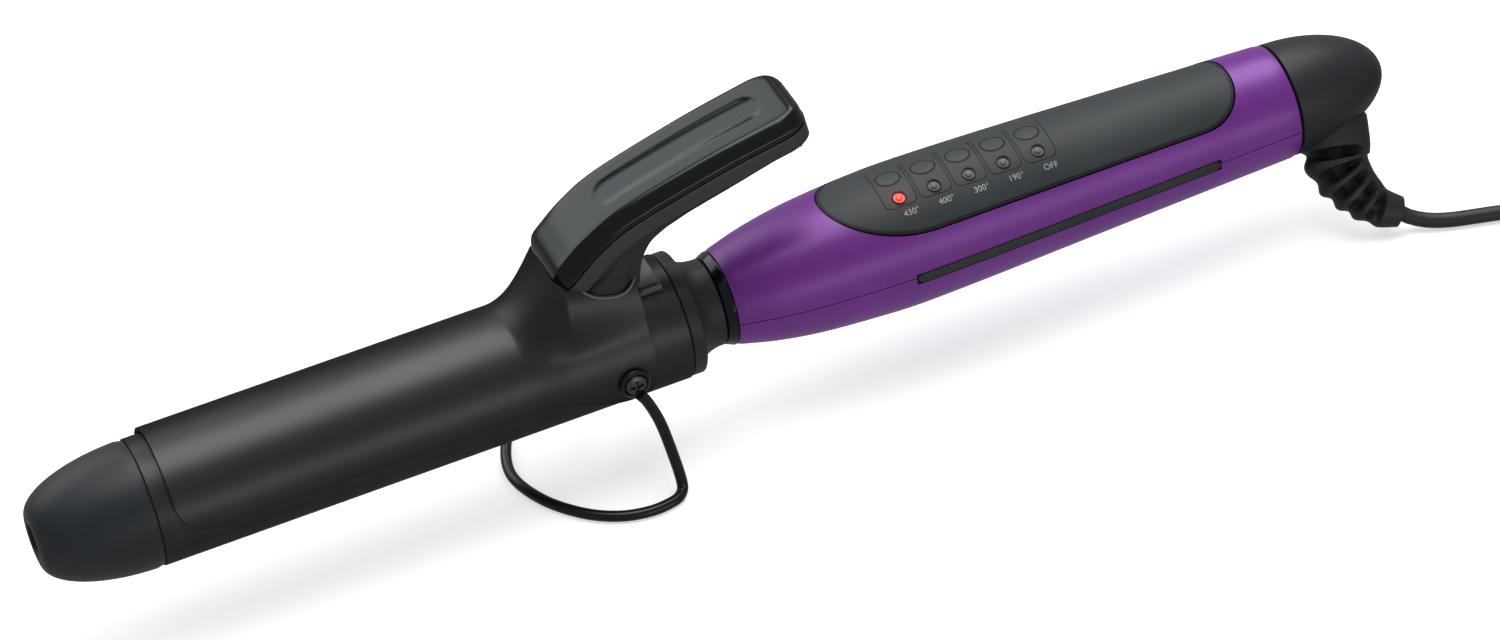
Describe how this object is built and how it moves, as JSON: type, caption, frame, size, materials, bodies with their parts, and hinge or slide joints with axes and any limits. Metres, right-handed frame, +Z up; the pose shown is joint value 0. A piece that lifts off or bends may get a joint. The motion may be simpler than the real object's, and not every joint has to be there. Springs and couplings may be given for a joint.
{
  "type": "curling iron",
  "caption": "Curling iron with a sprung clamp over a round heated barrel, folding wire stand, push-button handle, swivelling cord end and coiled mains cord.",
  "frame": {"origin": "under the middle of the iron's length and width, on the surface it stands on", "axes": "+X along the iron from the cool tip to the cord end, +Z up towards the thumb lever and the buttons, +Y away from the side with the indicators"},
  "size_m": [0.5241, 0.0828, 0.0888],
  "materials": {
    "matte_black": "fine matt moulded black",
    "bronze_barrel": "dark bronze barrel coating, satin",
    "clamp_satin": "satin dark grey coated sheet",
    "gloss_black": "high-gloss black",
    "purple_metallic": "satin metallic purple lacquer",
    "panel_grey": "satin dark grey overlay",
    "strip_rubber": "soft matt green-grey",
    "screw_steel": "plain steel",
    "wire_black": "black-coated wire",
    "aluminium": "plain extruded",
    "ceramic": "white ceramic and glass-sleeve insulation",
    "indicator_lit": "red indicator, lit",
    "indicator_grey": "grey indicator, off",
    "circuit_green": "solder mask",
    "cord_black": "matt black flexible PVC",
    "blade_brass": "plain brass"
  },
  "bodies": {
    "root": {"cool_tip": "matte_black", "tip_screw": "screw_steel", "barrel": "bronze_barrel", "heater_bar_upper": "aluminium", "heater_bar_lower": "aluminium", "heating_element": "ceramic", "temperature_sensor": "ceramic", "barrel_collar": "ceramic", "heater_lead_near": "ceramic", "heater_lead_far": "ceramic", "clamp_spring": "screw_steel", "spring_bracket": "matte_black", "pivot_screw_near": "screw_steel", "pivot_screw_far": "screw_steel", "neck": "matte_black", "accent_ring": "gloss_black", "handle_upper": "purple_metallic", "handle_lower": "purple_metallic", "handle_screw_1": "screw_steel", "handle_screw_2": "screw_steel", "grip_strip_near": "strip_rubber", "grip_strip_far": "strip_rubber", "control_panel": "panel_grey", "indicator_1": "indicator_lit", "indicator_2": "indicator_grey", "indicator_3": "indicator_grey", "indicator_4": "indicator_grey", "indicator_5": "indicator_grey", "circuit_board": "circuit_green", "key_switch_1": "matte_black", "key_switch_2": "matte_black", "key_switch_3": "matte_black", "key_switch_4": "matte_black", "key_switch_5": "matte_black", "triac_heatsink": "aluminium", "smoothing_capacitor": "matte_black", "swivel_socket": "matte_black", "cord_lead": "cord_black", "cord_coil": "cord_black", "cord_tail": "cord_black", "cord_tie": "matte_black", "plug_body": "cord_black", "plug_blade_near": "blade_brass", "plug_blade_far": "blade_brass"},
    "clamp": {"clamp_plate": "clamp_satin", "lever_arm": "matte_black", "thumb_lever": "gloss_black"},
    "stand": {"wire_stand": "wire_black", "stand_boss_near": "clamp_satin", "stand_boss_far": "clamp_satin"},
    "cord_end": {"end_cap": "matte_black", "strain_relief": "cord_black"},
    "button_1": {"button_1": "panel_grey"},
    "button_2": {"button_2": "panel_grey"},
    "button_3": {"button_3": "panel_grey"},
    "button_4": {"button_4": "panel_grey"},
    "button_5": {"button_5": "panel_grey"}
  },
  "joints": [
    {"name": "clamp_hinge", "type": "hinge", "parent": "root", "child": "clamp", "pos_m": [-0.0325, 0, 0.0334], "axis": [0, 1, 0], "range_deg": [0, 14], "stiffness_Nm_per_rad": 0.45, "springref_deg": -20.05},
    {"name": "stand_hinge", "type": "hinge", "parent": "root", "child": "stand", "pos_m": [-0.0325, 0, 0.0334], "axis": [0, 1, 0], "range_deg": [-100, 20]},
    {"name": "cord_swivel", "type": "hinge", "parent": "root", "child": "cord_end", "pos_m": [0.1511, 0, 0.0334], "axis": [1, 0, 0], "range_deg": [-60, 0]},
    {"name": "press_button_1", "type": "slide", "parent": "root", "child": "button_1", "axis": [0, 0, -1], "range_m": [0, 0.0008], "stiffness_N_per_m": 900, "springref_m": -0.0005},
    {"name": "press_button_2", "type": "slide", "parent": "root", "child": "button_2", "axis": [0, 0, -1], "range_m": [0, 0.0008], "stiffness_N_per_m": 900, "springref_m": -0.0005},
    {"name": "press_button_3", "type": "slide", "parent": "root", "child": "button_3", "axis": [0, 0, -1], "range_m": [0, 0.0008], "stiffness_N_per_m": 900, "springref_m": -0.0005},
    {"name": "press_button_4", "type": "slide", "parent": "root", "child": "button_4", "axis": [0, 0, -1], "range_m": [0, 0.0008], "stiffness_N_per_m": 900, "springref_m": -0.0005},
    {"name": "press_button_5", "type": "slide", "parent": "root", "child": "button_5", "axis": [0, 0, -1], "range_m": [0, 0.0008], "stiffness_N_per_m": 900, "springref_m": -0.0005}
  ]
}
